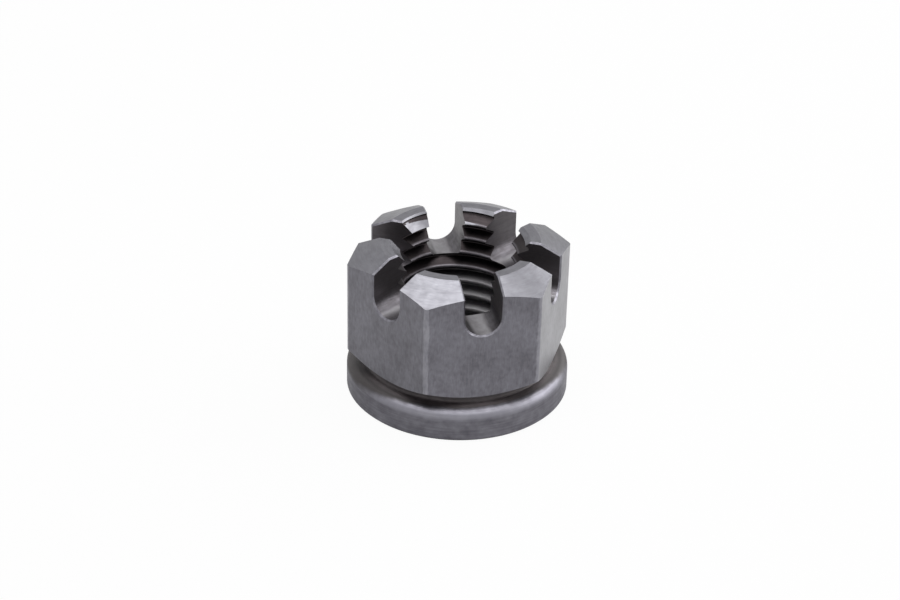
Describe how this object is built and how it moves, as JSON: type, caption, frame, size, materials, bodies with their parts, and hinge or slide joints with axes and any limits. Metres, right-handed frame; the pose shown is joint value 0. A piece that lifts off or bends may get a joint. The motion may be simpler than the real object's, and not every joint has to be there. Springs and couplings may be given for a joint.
{
  "type": "castle nut",
  "caption": "Hexagonal castle nut with a round bearing collar and round-bottomed slots across its crown for a split pin.",
  "frame": {"origin": "centre of the collar's bearing face, on the thread axis", "axes": "+Z along the thread axis, from the bearing face towards the slotted crown; two flats face +Y and -Y, so two corners lie on X and one pair of slots runs along Y"},
  "size_m": [0.0276, 0.0272, 0.0198],
  "materials": {
    "bare_steel": "bare machined steel, satin, lightly oiled"
  },
  "bodies": {
    "root": {"castle_nut": "bare_steel"}
  },
  "joints": []
}
